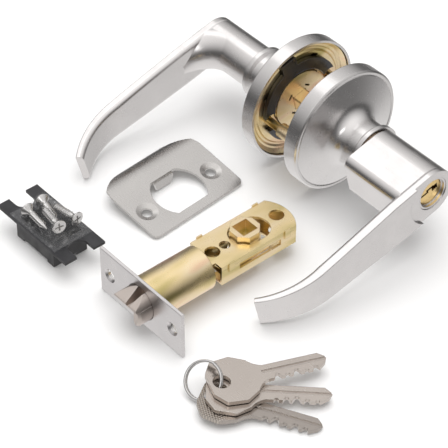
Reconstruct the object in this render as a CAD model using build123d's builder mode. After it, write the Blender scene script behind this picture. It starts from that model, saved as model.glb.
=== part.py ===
"""Lever handle lockset, laid out as a kit on a table top.

The kit is the keyed lever pair joined on its spindle, the spring latch with its face plate, the
full-lip strike plate, the dust box with its bag of screws, and three keys on a split ring.

Frame: the table top is Z = 0 and the origin is under the middle of the kit. The spindle lies along
X with the exterior (keyed) side towards +X. The latch lies along Y with its bolt towards -Y.
All sizes are in millimetres.
"""
import os
from math import asin, atan2, cos, degrees, pi, radians, sin, sqrt

from build123d import *

os.makedirs("parts", exist_ok=True)

# ---------------------------------------------------------------------------------------------
# Driving dimensions
# ---------------------------------------------------------------------------------------------

# Spindle axis, and how far the levers drop below level where the tips rest on the table
SPINDLE_X, SPINDLE_Y, SPINDLE_Z = -26.4, 59.6, 31.5
LEVER_DROP = 14.0
FIT = 0.3
RUNNING = 0.1

# Roses: distances out from the middle of the door, then radii
HALF_GAP = 11.2
ROSE_RADIUS = 31.5
RIM_WIDTH = 7.8
ROSE_FRONT = HALF_GAP + RIM_WIDTH
ROSE_SHEET = 1.2
NECK_RADIUS = 11.8
COLLAR_RADIUS = 13.3
COLLAR_BACK, COLLAR_END = 37.2, 39.3

# Chassis behind each rose
PLATE_BACK, PLATE_FRONT, PLATE_RADIUS = 14.4, 15.6, 30.0
POST_OFFSET = 19.05
POST_RADIUS = 3.6
SCREW_RADIUS = 2.1
SLEEVE_OUTER, SLEEVE_INNER, SLEEVE_END = 10.2, 8.7, 48.0
HUB_DISC_BACK, HUB_DISC_FRONT, HUB_DISC_RADIUS = 12.2, 13.8, 15.0
CAGE_BACK, CAGE_FRONT, CAGE_INNER, CAGE_OUTER = 11.8, 14.1, 16.3, 22.2
SPINDLE_SQUARE = 8.0
SPINDLE_BORE = 2.3
SPINDLE_FROM, SPINDLE_TO = 18.0, -37.0
POST_END = -5.0
SCREW_TIP = -18.5

# Levers
HUB_START = 40.1
BLADE_SHOULDER, BLADE_STRAIGHT = 22.0, 66.0
BLADE_BEND_RADIUS, BLADE_BEND = 45.0, 44.5
BLADE_MID_HALF, BLADE_TIP_HALF = 10.0, 7.7
TIP_THICKNESS = 3.6
BLADE_INNER_ROUND, BLADE_OUTER_ROUND = 2.2, 0.4
DISH_RADIUS = 15.0

# Key cylinder in the exterior lever
HOUSING_RADIUS, HOUSING_START, HOUSING_FACE = 8.5, 49.0, 76.6
PLUG_RADIUS, PLUG_FACE = 6.9, 74.6
PIN_COUNT, PIN_PITCH, FIRST_PIN, PIN_RADIUS = 5, 3.97, 69.0, 1.4
BIBLE_WIDTH, BIBLE_TOP = 7.0, 15.5

# Turn button in the interior lever
BEZEL_RADIUS, BEZEL_PROUD = 8.5, 1.2
BUTTON_RADIUS = 6.9
LOCK_BAR_TIP = 2.0

# Latch: its centre line, and stations back from the front of the face plate
LATCH_X, LATCH_FRONT, LATCH_Z = 4.4, -72.7, 12.7
PLATE_LONG, PLATE_TALL = 57.15, 25.4
FACEPLATE_THICKNESS, BACKPLATE_THICKNESS = 1.5, 1.3
FACEPLATE_HOLES, FACEPLATE_HOLE_RADIUS, SINK_RADIUS, BACKPLATE_HOLE_RADIUS = 43.6, 2.6, 3.5, 3.4
TUBE_RADIUS, TUBE_WALL, TUBE_END = 10.7, 0.9, 34.5
BOLT_RADIUS, BOLT_THROW, BOLT_BODY = 8.9, 8.6, 6.0
BEVEL_SLOPE = 0.45
PLUNGER_LEFT, PLUNGER_TOP, PLUNGER_TALL, PLUNGER_THROW = 3.6, 3.6, 9.4, 7.6
PLUNGER_ROD = (6.4, 4.5)
TAIL_WIDTH, TAIL_THICKNESS = 6.0, 2.4
YOKE_FRONT, YOKE_BACK, YOKE_END = 39.0, 44.2, 67.0
GUIDE_START = 26.4
BACKSET = 60.3
CASE_WIDTH, CASE_HEIGHT, CASE_START, CASE_END = 22.0, 10.4, 37.5, 85.6
CASE_SHEET = 1.2
CASE_SEAM = 2.9
HUB_COLLAR_RISE = 8.8

# Strike plate, dust box
STRIKE_X, STRIKE_Y, STRIKE_TURN, STRIKE_TILT = -49.2, -6.8, 4.1, 11.0
STRIKE_LENGTH, STRIKE_SHEET = 57.0, 1.3
STRIKE_HOLES = 41.3
LIP_RADIUS, LIP_ANGLE = 12.0, 74.0
BOX_X, BOX_Y = -63.0, -71.2
BOX_TOP, BOX_LENGTH, BOX_WIDTH = 12.0, 51.5, 22.7
BOX_BODY_LENGTH, BOX_BODY_WIDTH = 28.0, 19.0
FORK_DEPTH, FORK_WIDTH = 5.0, 9.6
# Head of each wood screw from the middle of the dust box, then its heading and its height
WOOD_SCREWS = (
    (-11.0, 3.5, -12, 16.6),
    (-10.0, -5.5, -4, 16.6),
    (13.5, 5.5, 190, 20.4),
    (12.5, -4.0, 172, 20.4),
)

# Keys: the tilted plane they lie in, their thickness and the ring
KEY_THICKNESS, KEY_PITCH, KEY_HOLE = 2.1, 2.5, 3.9
KEY_LENGTH, BOW_WIDTH, BOW_BACK = 54.0, 26.0, 5.5
KEY_ANGLES = (-18.5, -0.6, 20.1)
KEY_CUTS = ((1.4, 2.6, 0.9, 2.2, 1.6), (1.1, 2.0, 2.7, 1.4, 0.9), (2.2, 1.2, 2.4, 0.9, 1.9))
BOW_ROUNDING = (4.5, 1.6, 1.6)
KEYS_HEADING, KEYS_TILT, KEYS_LIFT = 50.0, 4.0, 3.55
RING_X, RING_Y = 54.6, -79.1
RING_RADIUS, RING_WIRE, RING_COIL = 8.5, 0.6, 1.25
RING_TURN, RING_LEAN, RING_HEIGHT = -38.0, 45.0, 3.9

EXTERIOR, INTERIOR = 1, -1
# Each lever's hub radius and end face, and its blade's outer face and thickness
HUB_RADIUS = {EXTERIOR: 12.0, INTERIOR: 11.0}
HUB_FACE = {EXTERIOR: 77.0, INTERIOR: 75.4}
BLADE_OUTER = {EXTERIOR: 78.4, INTERIOR: 75.4}
BLADE_THICKNESS = {EXTERIOR: 5.6, INTERIOR: 4.9}
# The exterior hub reaches along its blade; the interior one is round with a broad inner corner
HUB_NOSE, NOSE_ROUND, NOSE_CORNER = 19.0, 5.0, 2.5
BEND_CORNER = 13.5
SIDE_NAMES = {EXTERIOR: "exterior", INTERIOR: "interior"}
SPINDLE_POINT = Vector(SPINDLE_X, SPINDLE_Y, SPINDLE_Z)
SPINDLE_AXIS = Axis((SPINDLE_X, SPINDLE_Y, SPINDLE_Z), (1, 0, 0))
DROP = radians(LEVER_DROP)
ALONG = Vector(0, -cos(DROP), -sin(DROP))
UPWARD = Vector(0, -sin(DROP), cos(DROP))
CENTRED_UP = (Align.CENTER, Align.CENTER, Align.MIN)


# ---------------------------------------------------------------------------------------------
# Planes and helpers
# ---------------------------------------------------------------------------------------------


def station(side, distance):
    """Across the spindle: local x runs along the lever, and z points out from the door."""
    return Plane(origin=SPINDLE_POINT + Vector(side * distance, 0, 0), x_dir=ALONG, z_dir=(side, 0, 0))


def half_section(side):
    """Through the spindle: local x is the distance out from the door, y the height above it."""
    return Plane(origin=SPINDLE_POINT, x_dir=(side, 0, 0), z_dir=ALONG * side)


def lever_outline(side):
    """Through the spindle and the lever: local x is out from the door, y runs along the lever."""
    return Plane(origin=SPINDLE_POINT, x_dir=(side, 0, 0), z_dir=UPWARD * -side)


def latch_station(distance):
    """Across the latch: local x is X, local y points down, z points back into the door."""
    return Plane(origin=(LATCH_X, LATCH_FRONT + distance, LATCH_Z), x_dir=(1, 0, 0), z_dir=(0, 1, 0))


def latch_level(height):
    """Level with the table: local y is the distance back from the face plate."""
    return Plane(origin=(LATCH_X, LATCH_FRONT, height), x_dir=(1, 0, 0), z_dir=(0, 0, 1))


def rod(side, start, end, radius, mode=Mode.ADD):
    """A round bar on the spindle axis between two distances out from the door."""
    with Locations(station(side, start)):
        Cylinder(radius, end - start, align=CENTRED_UP, mode=mode)


def latch_rod(start, end, radius, mode=Mode.ADD):
    """A round bar on the latch's centre line between two stations."""
    with Locations(latch_station(start)):
        Cylinder(radius, end - start, align=CENTRED_UP, mode=mode)


# ---------------------------------------------------------------------------------------------
# Roses and chassis, the same on both sides of the door
# ---------------------------------------------------------------------------------------------


def make_rose(side):
    """Pressed cover: rim, ringed edge, shallow cone, neck and collar, open at the back."""
    name = f"{SIDE_NAMES[side]}_rose"
    inner = ROSE_RADIUS - ROSE_SHEET
    with BuildPart() as rose:
        with BuildSketch(half_section(side)):
            with BuildLine():
                Polyline(
                    (HALF_GAP, inner),
                    (HALF_GAP, ROSE_RADIUS),
                    (ROSE_FRONT - 0.7, ROSE_RADIUS),
                    (ROSE_FRONT, ROSE_RADIUS - 0.7),
                    (ROSE_FRONT, 29.7),
                    (ROSE_FRONT - 0.4, 29.5),
                    (ROSE_FRONT, 29.1),
                    (22.4, 18.0),
                )
                Spline((22.4, 18.0), (30.5, NECK_RADIUS), tangents=((0.25, -0.9), (1, 0)))
                Polyline(
                    (30.5, NECK_RADIUS),
                    (35.8, NECK_RADIUS),
                    (COLLAR_BACK, COLLAR_RADIUS),
                    (COLLAR_END, COLLAR_RADIUS),
                    (COLLAR_END, SLEEVE_OUTER + FIT),
                    (30.0, SLEEVE_OUTER + FIT),
                )
                Spline(
                    (30.0, SLEEVE_OUTER + FIT),
                    (21.3, 17.2),
                    tangents=((-1, 0.02), (-0.25, 0.9)),
                )
                Polyline(
                    (21.3, 17.2),
                    (ROSE_FRONT - ROSE_SHEET, 28.6),
                    (ROSE_FRONT - ROSE_SHEET - 0.8, inner),
                    (HALF_GAP, inner),
                )
            make_face()
        revolve(axis=SPINDLE_AXIS)
    rose.part.label = name
    export_step(rose.part, f"parts/{name}.step")


def make_mounting_plate(side):
    """Dished plate in the back of the rose, with a pressed ring, bolt holes and slots."""
    name = f"{SIDE_NAMES[side]}_mounting_plate"
    sheet = PLATE_FRONT - PLATE_BACK
    with BuildPart() as plate:
        with BuildSketch(half_section(side)):
            with BuildLine():
                Polyline(
                    (PLATE_BACK - 2.0, PLATE_RADIUS),
                    (PLATE_BACK - 2.0 + sheet, PLATE_RADIUS),
                    (PLATE_FRONT, 28.6),
                    (PLATE_FRONT, 27.6),
                    (PLATE_FRONT + 0.8, 26.8),
                    (PLATE_FRONT + 0.8, 25.0),
                    (PLATE_FRONT, 24.2),
                    (PLATE_FRONT, SLEEVE_OUTER + 0.4),
                    (PLATE_BACK, SLEEVE_OUTER + 0.4),
                    (PLATE_BACK, 24.6),
                    (PLATE_BACK + 0.8, 25.4),
                    (PLATE_BACK + 0.8, 26.4),
                    (PLATE_BACK, 27.2),
                    (PLATE_BACK, 28.2),
                    close=True,
                )
            make_face()
        revolve(axis=SPINDLE_AXIS)
        with BuildSketch(station(side, PLATE_BACK - 1)):
            with Locations((POST_OFFSET, 0), (-POST_OFFSET, 0)):
                Circle(SCREW_RADIUS + RUNNING)
            with PolarLocations(14.6, 6, start_angle=30):
                Rectangle(1.2, 4.0)
            with PolarLocations(22.4, 4, start_angle=40):
                SlotCenterToCenter(3.2, 1.6, rotation=90)
        extrude(amount=3, mode=Mode.SUBTRACT)
    plate.part.label = name
    export_step(plate.part, f"parts/{name}.step")


def make_spring_cage(side):
    """Black moulded cage between the plate and the door, with a stop block on its outside."""
    name = f"{SIDE_NAMES[side]}_spring_cage"
    with BuildPart() as cage:
        with BuildSketch(station(side, CAGE_BACK)):
            Circle(CAGE_OUTER)
            with Locations((2.0, -side * 23.6)):
                Rectangle(8.5, 7.5)
            Circle(CAGE_INNER, mode=Mode.SUBTRACT)
            with Locations((POST_OFFSET, 0), (-POST_OFFSET, 0)):
                Circle(POST_RADIUS + 1.2, mode=Mode.SUBTRACT)
        extrude(amount=CAGE_FRONT - CAGE_BACK)
    cage.part.label = name
    export_step(cage.part, f"parts/{name}.step")


def make_drive_hub(side):
    """Disc on the door side of the plate, with the sleeve that carries the lever."""
    name = f"{SIDE_NAMES[side]}_drive_hub"
    with BuildPart() as hub:
        rod(side, HUB_DISC_BACK, HUB_DISC_FRONT, HUB_DISC_RADIUS)
        rod(side, HUB_DISC_FRONT, SLEEVE_END, SLEEVE_OUTER)
        rod(side, HUB_DISC_FRONT, SLEEVE_END, SLEEVE_INNER, mode=Mode.SUBTRACT)
        with BuildSketch(station(side, HUB_DISC_BACK)):
            Rectangle(SPINDLE_SQUARE + 2 * RUNNING, SPINDLE_SQUARE + 2 * RUNNING)
            with PolarLocations(12.6, 2, start_angle=60):
                SlotArc(CenterArc((0, 0), 12.6, 40, 50), 3.0)
            with PolarLocations(7.6, 4, start_angle=45):
                Rectangle(1.0, 3.2)
        extrude(amount=HUB_DISC_FRONT - HUB_DISC_BACK, mode=Mode.SUBTRACT)
    hub.part.label = name
    export_step(hub.part, f"parts/{name}.step")


def make_retaining_ring(side):
    """E-ring that holds the sleeve in the plate."""
    name = f"{SIDE_NAMES[side]}_retaining_ring"
    with BuildPart() as ring:
        with BuildSketch(station(side, PLATE_FRONT + 0.2)):
            Circle(12.6)
            Circle(SLEEVE_OUTER, mode=Mode.SUBTRACT)
            with Locations((0, 12.0)):
                Rectangle(6.0, 8.0, mode=Mode.SUBTRACT)
        extrude(amount=1.0)
    ring.part.label = name
    export_step(ring.part, f"parts/{name}.step")


def make_torsion_spring(side):
    """Return spring, wound round the sleeve inside the rose."""
    name = f"{SIDE_NAMES[side]}_torsion_spring"
    wire = 0.75
    with BuildPart() as spring:
        with BuildLine() as coil:
            start = SPINDLE_POINT + Vector(side * (PLATE_FRONT + 2.2), 0, 0)
            Helix(pitch=1.7, height=3.4, radius=13.6, center=start, direction=(side, 0, 0))
        with BuildSketch(Plane(origin=coil.line @ 0, z_dir=coil.line % 0)):
            Circle(wire)
        sweep(is_frenet=True)
    spring.part.label = name
    export_step(spring.part, f"parts/{name}.step")


def blade_curve(side, radius, turn):
    """A point on a bend of the blade, as a distance out from the door and along the lever."""
    centre = BLADE_OUTER[side] - BLADE_BEND_RADIUS
    return centre + radius * cos(turn), BLADE_STRAIGHT + radius * sin(turn)


def outer_face_distance(side, along):
    """How far out from the door the blade's outer face is, some way along the lever."""
    past_bend = max(0.0, along - BLADE_STRAIGHT)
    return BLADE_OUTER[side] - BLADE_BEND_RADIUS + sqrt(BLADE_BEND_RADIUS**2 - past_bend**2)


def creases(side, blade, outer):
    """The edges that run the length of the blade, on its outer face or on its inner one."""
    outline = lever_outline(side)
    chosen = []
    for edge in blade.edges():
        start, middle, end = (outline.to_local_coords(edge @ place) for place in (0, 0.5, 1))
        if abs(start.Y - end.Y) < 6 or middle.Y < 5:
            continue
        depth = outer_face_distance(side, middle.Y) - middle.X
        if (depth < 0.3) == outer:
            chosen.append(edge)
    return chosen


def make_blade(side):
    """The lever's blade alone, straight and then bent back towards the door, tapered to its tip."""
    bend = radians(BLADE_BEND)
    outer, radius = BLADE_OUTER[side], HUB_RADIUS[side]
    inner = outer - BLADE_THICKNESS[side]
    inner_radius = BLADE_BEND_RADIUS - BLADE_THICKNESS[side]
    tip_inner_radius = BLADE_BEND_RADIUS - TIP_THICKNESS
    middle_radius = (inner_radius + tip_inner_radius) / 2
    outer_tip = blade_curve(side, BLADE_BEND_RADIUS, bend)
    inner_tip = blade_curve(side, tip_inner_radius, bend)
    reach = outer_tip[1] + 2
    middle = BLADE_SHOULDER + 30
    with BuildPart() as blade:
        with BuildSketch(lever_outline(side)):
            with BuildLine():
                Polyline((outer, BLADE_STRAIGHT), (outer, -radius), (inner, -radius), (inner, BLADE_STRAIGHT))
                middle_of_bend = blade_curve(side, BLADE_BEND_RADIUS, bend / 2)
                ThreePointArc((outer, BLADE_STRAIGHT), middle_of_bend, outer_tip)
                ThreePointArc((inner, BLADE_STRAIGHT), blade_curve(side, middle_radius, bend / 2), inner_tip)
                Line(outer_tip, inner_tip)
            make_face()
        extrude(amount=radius, both=True)
        with BuildSketch(station(side, HUB_START)):
            with BuildLine():
                shoulder, waist, end = (BLADE_SHOULDER, radius), (middle, BLADE_MID_HALF), (reach, BLADE_TIP_HALF)
                Polyline((0, radius), shoulder, waist, end)
                Line((reach, BLADE_TIP_HALF), (reach, -BLADE_TIP_HALF))
                Polyline(*[(along, -across) for along, across in (end, waist, shoulder, (0, radius))])
                ThreePointArc((0, radius), (-radius, 0), (0, -radius))
            make_face()
        extrude(amount=outer - HUB_START, mode=Mode.INTERSECT)
        fillet(creases(side, blade, outer=False), BLADE_INNER_ROUND)
        fillet(creases(side, blade, outer=True), BLADE_OUTER_ROUND)
    return blade.part


def make_bend(side):
    """The broad bend that carries a round hub into its blade, cut flush with the outer face."""
    outer, radius = BLADE_OUTER[side], HUB_RADIUS[side] - 0.08
    start = outer - BLADE_THICKNESS[side] - BEND_CORNER - 0.3
    outline = lever_outline(side)
    centre = outline.from_local_coords((start, radius + BEND_CORNER, 0))
    with BuildPart() as bend:
        with BuildSketch(station(side, start)):
            Circle(radius)
        revolve(axis=Axis(centre, outline.z_dir), revolution_arc=90)
        with BuildSketch(station(side, start)):
            Rectangle(200, 200)
        extrude(amount=outer - start, mode=Mode.INTERSECT)
    return bend.part


def make_lever(side):
    """Cast lever: a hub block along the spindle and a blade that returns towards the door."""
    name = f"{SIDE_NAMES[side]}_lever"
    outer, radius, face = BLADE_OUTER[side], HUB_RADIUS[side], HUB_FACE[side]
    inner = outer - BLADE_THICKNESS[side]
    blade = make_blade(side)
    with BuildPart() as lever:
        rod(side, HUB_START, inner + 1, radius)
        if side == EXTERIOR:
            with BuildSketch(station(side, HUB_START)):
                with Locations((HUB_NOSE / 2, 0)):
                    RectangleRounded(HUB_NOSE, 2 * radius, NOSE_ROUND)
                with Locations((HUB_NOSE / 4, 0)):
                    Rectangle(HUB_NOSE / 2, 2 * radius)
            extrude(amount=inner + 1 - HUB_START)
        else:
            add(make_bend(side))
        add(blade)
        if side == EXTERIOR:
            outline = lever_outline(side)
            corner = []
            for edge in lever.edges():
                middle = outline.to_local_coords(edge @ 0.5)
                if abs(middle.X - inner) < 0.05 and abs(middle.Y - HUB_NOSE) < 2:
                    corner.append(edge)
            fillet(corner, NOSE_CORNER)
            rod(side, face, outer + 1, DISH_RADIUS, mode=Mode.SUBTRACT)
        rod(side, HUB_START, SLEEVE_END + 0.2, SLEEVE_OUTER, mode=Mode.SUBTRACT)
        if side == EXTERIOR:
            rod(side, HUB_START, outer, HOUSING_RADIUS, mode=Mode.SUBTRACT)
            with BuildSketch(station(side, SLEEVE_END)):
                with Locations((BIBLE_TOP / 2, 0)):
                    Rectangle(BIBLE_TOP, BIBLE_WIDTH)
            extrude(amount=HOUSING_FACE - 2 - SLEEVE_END, mode=Mode.SUBTRACT)
        else:
            rod(side, HUB_START, outer + 1, BEZEL_RADIUS - 0.6, mode=Mode.SUBTRACT)
    lever.part.label = name
    export_step(lever.part, f"parts/{name}.step")


# ---------------------------------------------------------------------------------------------
# Exterior side: posts, spindle and key cylinder
# ---------------------------------------------------------------------------------------------


def make_posts():
    """Two bored posts that reach through the door from the exterior plate."""
    with BuildPart() as mounting_posts:
        with BuildSketch(station(EXTERIOR, POST_END)):
            with Locations((POST_OFFSET, 0), (-POST_OFFSET, 0)):
                Circle(POST_RADIUS)
                Circle(SCREW_RADIUS + RUNNING, mode=Mode.SUBTRACT)
        extrude(amount=PLATE_BACK - POST_END)
    mounting_posts.part.label = "mounting_posts"
    export_step(mounting_posts.part, "parts/mounting_posts.step")


def make_spindle():
    """Hollow square spindle, fixed in the exterior hub and sliding in the interior one."""
    with BuildPart() as spindle:
        with BuildSketch(station(EXTERIOR, SPINDLE_TO)):
            Rectangle(SPINDLE_SQUARE, SPINDLE_SQUARE)
        extrude(amount=SPINDLE_FROM - SPINDLE_TO)
        chamfer(spindle.edges().filter_by(Axis.X), 0.7)
        rod(EXTERIOR, SPINDLE_TO, SPINDLE_FROM, SPINDLE_BORE, mode=Mode.SUBTRACT)
    spindle.part.label = "spindle"
    export_step(spindle.part, "parts/spindle.step")


def make_cylinder_housing():
    """Key cylinder body: bezel, bored barrel and pin chamber."""
    with BuildPart() as cylinder_housing:
        rod(EXTERIOR, HOUSING_START, HOUSING_FACE, HOUSING_RADIUS - 0.05)
        with BuildSketch(station(EXTERIOR, HOUSING_START)):
            with Locations((BIBLE_TOP / 2, 0)):
                Rectangle(BIBLE_TOP - 0.2, BIBLE_WIDTH - 0.1)
        extrude(amount=HOUSING_FACE - 2.5 - HOUSING_START)
        rod(EXTERIOR, HOUSING_START, PLUG_FACE + 0.4, PLUG_RADIUS + 0.05, mode=Mode.SUBTRACT)
        rod(EXTERIOR, PLUG_FACE + 0.4, HOUSING_FACE, PLUG_RADIUS + 0.5, mode=Mode.SUBTRACT)
        for index in range(PIN_COUNT):
            with Locations(pin_plane(index, PLUG_RADIUS - 1.5)):
                depth = BIBLE_TOP - PLUG_RADIUS + 0.5
                Cylinder(PIN_RADIUS + 0.1, depth, align=CENTRED_UP, mode=Mode.SUBTRACT)
    cylinder_housing.part.label = "cylinder_housing"
    export_step(cylinder_housing.part, "parts/cylinder_housing.step")


def pin_plane(index, height):
    """Across one pin's own axis, at a height out from the middle of the plug."""
    origin = SPINDLE_POINT + Vector(FIRST_PIN - index * PIN_PITCH, 0, 0) + ALONG * height
    return Plane(origin=origin, x_dir=(1, 0, 0), z_dir=ALONG)


def make_key_plug():
    """Brass plug with a warded keyway and five pin holes; it turns in the housing."""
    with BuildPart() as key_plug:
        rod(EXTERIOR, HOUSING_START + 0.5, PLUG_FACE, PLUG_RADIUS)
        with BuildSketch(station(EXTERIOR, HOUSING_START + 6)):
            with BuildLine():
                Polyline(
                    (PLUG_RADIUS - 1.9, 0.55),
                    (0.6, 0.55),
                    (0.6, -0.5),
                    (-1.6, -0.5),
                    (-1.6, 1.5),
                    (-5.0, 1.5),
                    (-5.0, -1.3),
                    (-2.6, -1.3),
                    (-2.6, -1.7),
                    (1.6, -1.7),
                    (1.6, -0.55),
                    (PLUG_RADIUS - 1.9, -0.55),
                    close=True,
                )
            make_face()
        extrude(amount=PLUG_FACE - HOUSING_START - 6, mode=Mode.SUBTRACT)
        for index in range(PIN_COUNT):
            with Locations(pin_plane(index, 1.0)):
                Cylinder(PIN_RADIUS + 0.1, PLUG_RADIUS, align=CENTRED_UP, mode=Mode.SUBTRACT)
        chamfer(key_plug.faces().filter_by(Axis.X).sort_by(Axis.X)[-1].outer_wire().edges(), 0.35)
    key_plug.part.label = "key_plug"
    export_step(key_plug.part, "parts/key_plug.step")


def make_pins():
    """Key pins in the plug, driver pins and springs in the chamber above the shear line."""
    shear = PLUG_RADIUS - 0.25
    with BuildPart() as key_pins:
        for index in range(PIN_COUNT):
            with Locations(pin_plane(index, 1.4 + 0.35 * (index * 2 % 3))):
                Cylinder(PIN_RADIUS, shear - 1.4 - 0.35 * (index * 2 % 3), align=CENTRED_UP)
    key_pins.part.label = "key_pins"
    export_step(key_pins.part, "parts/key_pins.step")
    with BuildPart() as driver_pins:
        for index in range(PIN_COUNT):
            with Locations(pin_plane(index, PLUG_RADIUS + 0.2)):
                Cylinder(PIN_RADIUS, 3.0, align=CENTRED_UP)
    driver_pins.part.label = "driver_pins"
    export_step(driver_pins.part, "parts/driver_pins.step")
    with BuildPart() as pin_springs:
        for index in range(PIN_COUNT):
            for turn in range(5):
                with Locations(pin_plane(index, PLUG_RADIUS + 3.6 + turn * 0.75)):
                    Torus(PIN_RADIUS - 0.35, 0.3)
    pin_springs.part.label = "pin_springs"
    export_step(pin_springs.part, "parts/pin_springs.step")


def make_tailpiece():
    """Flat bar that the plug turns, reaching into the bore of the spindle."""
    with BuildPart() as tailpiece:
        with BuildSketch(station(EXTERIOR, 4.0)):
            Rectangle(3.2, 1.2)
        extrude(amount=HOUSING_START + 0.5 - 4.0)
        rod(EXTERIOR, HOUSING_START - 1.5, HOUSING_START + 0.5, 5.4)
    tailpiece.part.label = "tailpiece"
    export_step(tailpiece.part, "parts/tailpiece.step")


# ---------------------------------------------------------------------------------------------
# Interior side: through bolts and turn button
# ---------------------------------------------------------------------------------------------


def make_mounting_screws():
    """Two countersunk machine screws from the interior plate into the posts."""
    head_back = PLATE_FRONT + 0.1
    with BuildPart() as mounting_screws:
        with BuildSketch(station(INTERIOR, head_back)):
            with Locations((POST_OFFSET, 0), (-POST_OFFSET, 0)):
                Circle(3.9)
        extrude(amount=1.6)
        chamfer(mounting_screws.edges().filter_by(GeomType.CIRCLE).group_by(Axis.X)[0], 0.7)
        with BuildSketch(station(INTERIOR, SCREW_TIP)):
            with Locations((POST_OFFSET, 0), (-POST_OFFSET, 0)):
                Circle(SCREW_RADIUS)
        extrude(amount=head_back - SCREW_TIP)
        with BuildSketch(station(INTERIOR, head_back + 0.8)):
            with Locations((POST_OFFSET, 0), (-POST_OFFSET, 0)):
                Rectangle(4.4, 0.9)
                Rectangle(0.9, 4.4)
        extrude(amount=2, mode=Mode.SUBTRACT)
    mounting_screws.part.label = "mounting_screws"
    export_step(mounting_screws.part, "parts/mounting_screws.step")


def make_button_bezel():
    """Ring pressed into the end of the interior lever, just proud of it."""
    hub_face = HUB_FACE[INTERIOR]
    with BuildPart() as button_bezel:
        rod(INTERIOR, hub_face - 9, hub_face, BEZEL_RADIUS - 0.6)
        rod(INTERIOR, hub_face, hub_face + BEZEL_PROUD, BEZEL_RADIUS + 0.2)
        rod(INTERIOR, hub_face - 9, hub_face + BEZEL_PROUD, BUTTON_RADIUS + RUNNING, mode=Mode.SUBTRACT)
    button_bezel.part.label = "button_bezel"
    export_step(button_bezel.part, "parts/button_bezel.step")


def make_turn_button():
    """Privacy button with a finger bar left between two scoops, and its flat lock bar."""
    hub_face = HUB_FACE[INTERIOR]
    face = hub_face + BEZEL_PROUD + 0.6
    with BuildPart() as turn_button:
        rod(INTERIOR, hub_face - 12, face, BUTTON_RADIUS)
        with BuildSketch(station(INTERIOR, face - 2.8)):
            with Locations((0, 3.9), (0, -3.9)):
                SlotOverall(9.6, 4.4)
        extrude(amount=4, mode=Mode.SUBTRACT)
        rod(INTERIOR, hub_face - 12.8, hub_face - 12, BUTTON_RADIUS + 0.6)
    turn_button.part.label = "turn_button"
    export_step(turn_button.part, "parts/turn_button.step")
    with BuildPart() as lock_bar:
        with BuildSketch(station(INTERIOR, LOCK_BAR_TIP)):
            Rectangle(3.2, 1.2)
        extrude(amount=hub_face - 12.8 - LOCK_BAR_TIP)
    lock_bar.part.label = "lock_bar"
    export_step(lock_bar.part, "parts/lock_bar.step")


# ---------------------------------------------------------------------------------------------
# Latch
# ---------------------------------------------------------------------------------------------


def case_outline(inset):
    """Plan of the latch case: straight sides and a bowed far end."""
    half = CASE_WIDTH / 2 - inset
    corner = CASE_END - 4.0 - inset
    start = CASE_START - (0.5 if inset else 0)
    with BuildSketch() as outline:
        with BuildLine():
            Polyline((-half, corner), (-half, start), (half, start), (half, corner))
            ThreePointArc((-half, corner), (0, CASE_END - inset), (half, corner))
        make_face()
    return outline.sketch


def make_case():
    """Folded case in two halves that meet along a seam, with the neck that enters the tube."""
    low = LATCH_Z - CASE_HEIGHT / 2
    high = LATCH_Z + CASE_HEIGHT / 2
    seam = LATCH_Z + CASE_SEAM
    neck_start = 28.5
    with BuildPart() as latch_case_lower:
        with BuildSketch(latch_level(low)):
            add(case_outline(0))
        extrude(amount=seam - low)
        with BuildSketch(latch_level(low + CASE_SHEET)):
            add(case_outline(CASE_SHEET))
        extrude(amount=CASE_HEIGHT, mode=Mode.SUBTRACT)
        with BuildSketch(latch_level(low)):
            with Locations((0, (neck_start + CASE_START + 1) / 2)):
                Rectangle(13, CASE_START + 1 - neck_start)
        extrude(amount=CASE_SHEET)
        with BuildSketch(latch_level(low)):
            with Locations((0, BACKSET - POST_OFFSET), (0, BACKSET + POST_OFFSET)):
                Circle(3.6)
            with Locations((0, BACKSET - 11.8)):
                Circle(2.6)
            with Locations((0, BACKSET + 2.6)):
                SlotCenterToCenter(5.2, 15.8, rotation=90)
        extrude(amount=CASE_SHEET, mode=Mode.SUBTRACT)
        hub_centre = (LATCH_X, LATCH_FRONT + BACKSET, LATCH_Z + 0.3)
        with BuildSketch(Plane(origin=hub_centre, x_dir=(0, 1, 0), z_dir=(1, 0, 0))):
            Rectangle(24.5, 3.4)
        extrude(amount=CASE_WIDTH, both=True, mode=Mode.SUBTRACT)
        lug_half = CASE_WIDTH / 2
        for edge in (-1, 1):
            for distance in (CASE_START + 5.5, CASE_END - 9.5):
                lug_height = (seam + high + 0.7) / 2 - 1.0
                with Locations((LATCH_X + edge * (lug_half + 0.35), LATCH_FRONT + distance, lug_height)):
                    Box(0.7, 3.2, high + 0.7 - seam + 2.0)
    latch_case_lower.part.label = "latch_case_lower"
    export_step(latch_case_lower.part, "parts/latch_case_lower.step")
    with BuildPart() as latch_case_upper:
        with BuildSketch(latch_level(seam)):
            add(case_outline(0))
        extrude(amount=high - seam)
        with BuildSketch(latch_level(seam)):
            add(case_outline(CASE_SHEET))
        extrude(amount=high - seam - CASE_SHEET, mode=Mode.SUBTRACT)
        with BuildSketch(latch_level(high - CASE_SHEET)):
            with Locations((0, (neck_start + CASE_START + 1) / 2)):
                Rectangle(13, CASE_START + 1 - neck_start)
        extrude(amount=CASE_SHEET)
        with BuildSketch(latch_level(high - CASE_SHEET)):
            with Locations((0, BACKSET - POST_OFFSET), (0, BACKSET + POST_OFFSET)):
                Circle(3.6)
            with Locations((0, BACKSET - 11.8)):
                Circle(2.6)
            with Locations((0, BACKSET + 2.6)):
                SlotCenterToCenter(5.2, 15.8, rotation=90)
        extrude(amount=CASE_SHEET, mode=Mode.SUBTRACT)
    latch_case_upper.part.label = "latch_case_upper"
    export_step(latch_case_upper.part, "parts/latch_case_upper.step")


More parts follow.
